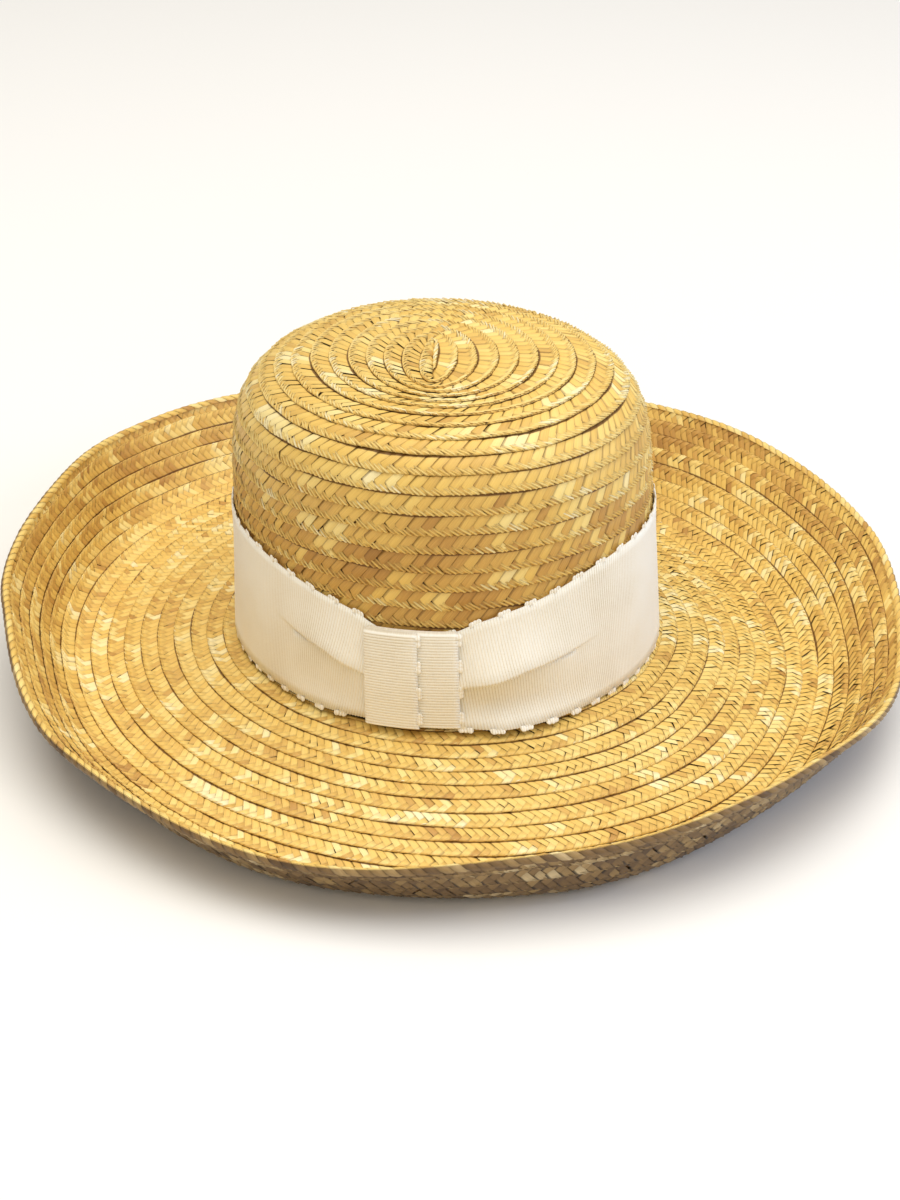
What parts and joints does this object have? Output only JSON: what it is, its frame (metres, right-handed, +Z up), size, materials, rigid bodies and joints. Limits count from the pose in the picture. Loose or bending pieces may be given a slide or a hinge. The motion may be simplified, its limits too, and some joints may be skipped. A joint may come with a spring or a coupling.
{
  "type": "straw hat with upturned brim",
  "caption": "Wide-brimmed hat of sewn straw braid with an oval domed crown, a brim rolled up all round, and an ivory picot-edged ribbon folded in a flat knot.",
  "frame": {"origin": "below the middle of the hat's box, on the surface that it rests on", "axes": "+Z up, -Y the front of the hat as worn, +Y the back, so the crown's long axis runs along Y; the ribbon's knot is to one side of the front, towards -X"},
  "size_m": [0.3628, 0.394, 0.1328],
  "materials": {
    "straw": "plaited wheat straw, lightly glossy on the straw's skin",
    "ribbon": "matt ribbed ribbon with looped picot edges"
  },
  "bodies": {
    "root": {"crown": "straw", "brim": "straw", "ribbon_band": "ribbon", "ribbon_knot": "ribbon"}
  },
  "joints": []
}
